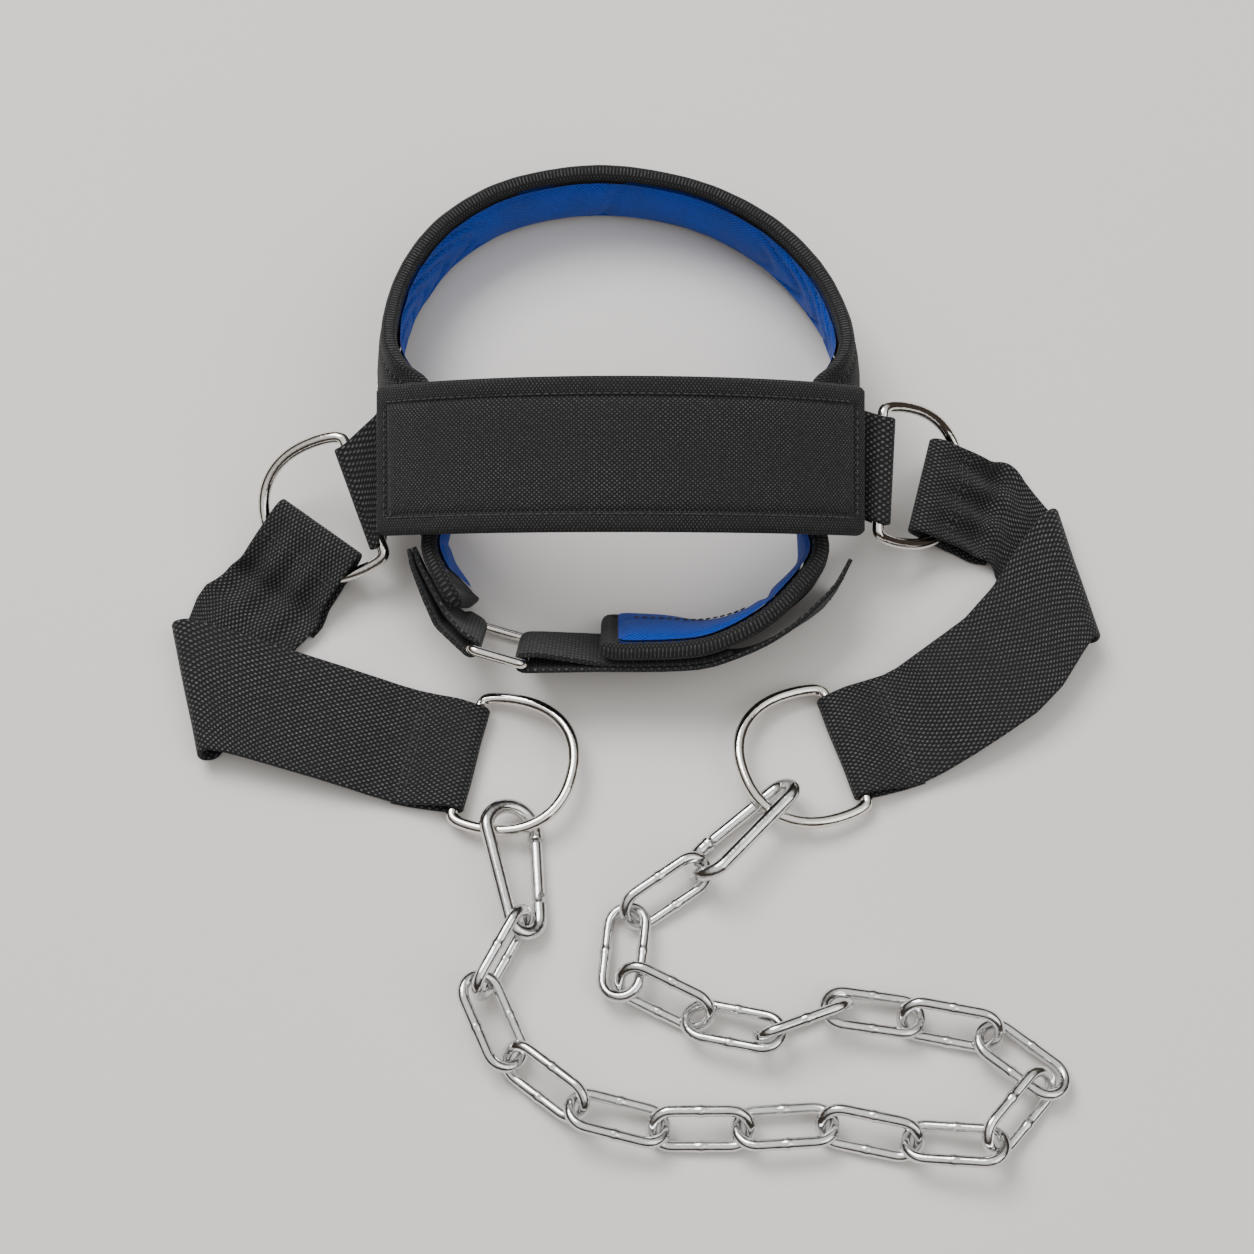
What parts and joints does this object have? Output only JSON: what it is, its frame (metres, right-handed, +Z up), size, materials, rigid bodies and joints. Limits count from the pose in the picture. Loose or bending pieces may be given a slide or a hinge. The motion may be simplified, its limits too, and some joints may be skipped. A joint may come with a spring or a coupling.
{
  "type": "neck training harness",
  "caption": "Padded head harness with a wide front panel, side straps on D-rings, snap hooks and a chain of welded links, lying on the floor.",
  "frame": {"origin": "centre of the footprint, on the floor that it lies on", "axes": "+Z up from the floor, -Y toward the chain, +X toward the wearer's left strap"},
  "size_m": [0.3762, 0.4262, 0.1028],
  "materials": {
    "black_webbing": "ribbed woven webbing",
    "black_canvas": "plain woven canvas over padding",
    "blue_lining": "soft knitted lining",
    "chromed_wire": "polished plating",
    "zinc_steel": "bright zinc plating"
  },
  "bodies": {
    "harness": {"front_panel": "black_canvas", "crown_band": "black_canvas", "crown_lining": "blue_lining", "rear_lining_left": "blue_lining", "rear_lining_right": "blue_lining", "rear_pad_left": "black_canvas", "rear_pad_right": "black_canvas", "adjuster_ring": "chromed_wire", "rear_web_left": "black_webbing", "rear_web_right": "black_webbing", "d_ring_upper_left": "chromed_wire", "d_ring_upper_right": "chromed_wire", "d_ring_lower_left": "chromed_wire", "d_ring_lower_right": "chromed_wire", "side_tab_left": "black_webbing", "side_tab_right": "black_webbing", "strap_left": "black_webbing", "strap_right": "black_webbing", "snap_body_left": "zinc_steel", "snap_body_right": "zinc_steel", "link_01": "zinc_steel", "link_02": "zinc_steel", "link_03": "zinc_steel", "link_04": "zinc_steel", "link_05": "zinc_steel", "link_06": "zinc_steel", "link_07": "zinc_steel", "link_08": "zinc_steel", "link_09": "zinc_steel", "link_10": "zinc_steel", "link_11": "zinc_steel", "link_12": "zinc_steel", "link_13": "zinc_steel", "link_14": "zinc_steel", "link_15": "zinc_steel", "link_16": "zinc_steel", "link_17": "zinc_steel"},
    "gate_left": {"snap_gate_left": "zinc_steel"},
    "gate_right": {"snap_gate_right": "zinc_steel"}
  },
  "joints": [
    {"name": "left_gate", "type": "hinge", "parent": "harness", "child": "gate_left", "pos_m": [-0.03767, -0.10554, 0.00553], "axis": [0.4513, 0.0594, 0.8904], "range_deg": [0, 20], "stiffness_Nm_per_rad": 0.05},
    {"name": "right_gate", "type": "hinge", "parent": "harness", "child": "gate_right", "pos_m": [0.04753, -0.06782, 0.00605], "axis": [-0.5185, 0.5468, 0.6574], "range_deg": [0, 20], "stiffness_Nm_per_rad": 0.05}
  ]
}
